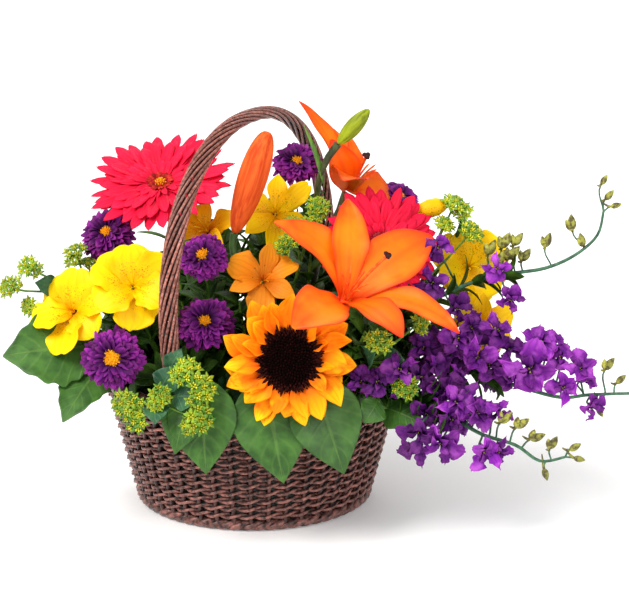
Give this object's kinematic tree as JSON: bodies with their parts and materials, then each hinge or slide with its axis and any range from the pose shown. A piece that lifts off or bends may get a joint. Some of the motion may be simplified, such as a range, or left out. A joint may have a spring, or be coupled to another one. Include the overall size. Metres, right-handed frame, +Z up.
{
  "type": "flower basket arrangement",
  "caption": "Round woven basket with one arched handle, filled with foam and cut mixed flowers, leaves and a trailing side of blue-violet spikes",
  "frame": {"origin": "centre of the flat underside of the basket", "axes": "+X to the trailing side, +Y away from the viewer, +Z up"},
  "size_m": [0.4903, 0.296, 0.3094],
  "materials": {
    "alstroemeria_yellow": "waxy petal",
    "green_stem": "waxy plant stem",
    "alstroemeria_green": "plant stem and bud",
    "alstroemeria_gold": "waxy petal",
    "aster_gold": "dense florets",
    "aster_purple": "soft petal",
    "wicker": "dark stained willow, satin",
    "handle_wicker": "dark stained willow rods, satin",
    "bupleurum_lime": "waxy leaf",
    "wet_foam": "soaked floral foam",
    "gerbera_orange_heart": "frilled florets",
    "gerbera_pink_red": "soft petal",
    "gerbera_dark_heart": "frilled florets",
    "gerbera_crimson": "soft petal",
    "larkspur_violet": "soft petal and stem",
    "leaf_green": "leathery leaf",
    "lily_anther": "powdery anther",
    "lily_orange": "waxy petal",
    "lily_green": "waxy plant stem and bud",
    "liner_film": "dark film",
    "sunflower_dark": "velvety seed head",
    "sunflower_gold": "soft petal"
  },
  "bodies": {
    "root": {"alstroemeria_left_a": "alstroemeria_yellow", "alstroemeria_left_b": "alstroemeria_yellow", "alstroemeria_right_a": "alstroemeria_yellow", "alstroemeria_right_b": "alstroemeria_yellow", "alstroemeria_stem_left": "green_stem", "alstroemeria_stem_right": "alstroemeria_green", "alstroemeria_stem_top": "green_stem", "alstroemeria_top_a": "alstroemeria_yellow", "alstroemeria_top_b": "alstroemeria_yellow", "alstroemeria_top_c": "alstroemeria_gold", "aster_back_eye": "aster_gold", "aster_back_rays": "aster_purple", "aster_left_high_eye": "aster_gold", "aster_left_high_rays": "aster_purple", "aster_left_low_eye": "aster_gold", "aster_left_low_rays": "aster_purple", "aster_middle_high_eye": "aster_gold", "aster_middle_high_rays": "aster_purple", "aster_middle_low_eye": "aster_gold", "aster_middle_low_rays": "aster_purple", "aster_stem_left": "green_stem", "aster_stem_middle": "green_stem", "aster_stem_top": "green_stem", "aster_top_eye": "aster_gold", "aster_top_rays": "aster_purple", "basket_foot_border": "wicker", "basket_handle": "handle_wicker", "basket_rim_border": "wicker", "basket_wall": "wicker", "bupleurum_front": "bupleurum_lime", "bupleurum_left": "bupleurum_lime", "bupleurum_right": "bupleurum_lime", "bupleurum_top": "bupleurum_lime", "floral_foam": "wet_foam", "gerbera_left_heart": "gerbera_orange_heart", "gerbera_left_petals": "gerbera_pink_red", "gerbera_left_stem": "green_stem", "gerbera_right_heart": "gerbera_dark_heart", "gerbera_right_petals": "gerbera_crimson", "gerbera_right_stem": "green_stem", "larkspur_lower": "larkspur_violet", "larkspur_middle": "larkspur_violet", "larkspur_upper": "larkspur_violet", "leaves_back": "leaf_green", "leaves_front_left": "leaf_green", "leaves_front_middle": "leaf_green", "leaves_left": "leaf_green", "leaves_right": "leaf_green", "lily_back_stamens": "lily_anther", "lily_back_tepals": "lily_orange", "lily_bud": "lily_orange", "lily_front_stamens": "lily_anther", "lily_front_tepals": "lily_orange", "lily_stem_back": "lily_green", "lily_stem_front": "green_stem", "liner": "liner_film", "sunflower_disc": "sunflower_dark", "sunflower_petals": "sunflower_gold", "sunflower_stem": "green_stem"}
  },
  "joints": []
}
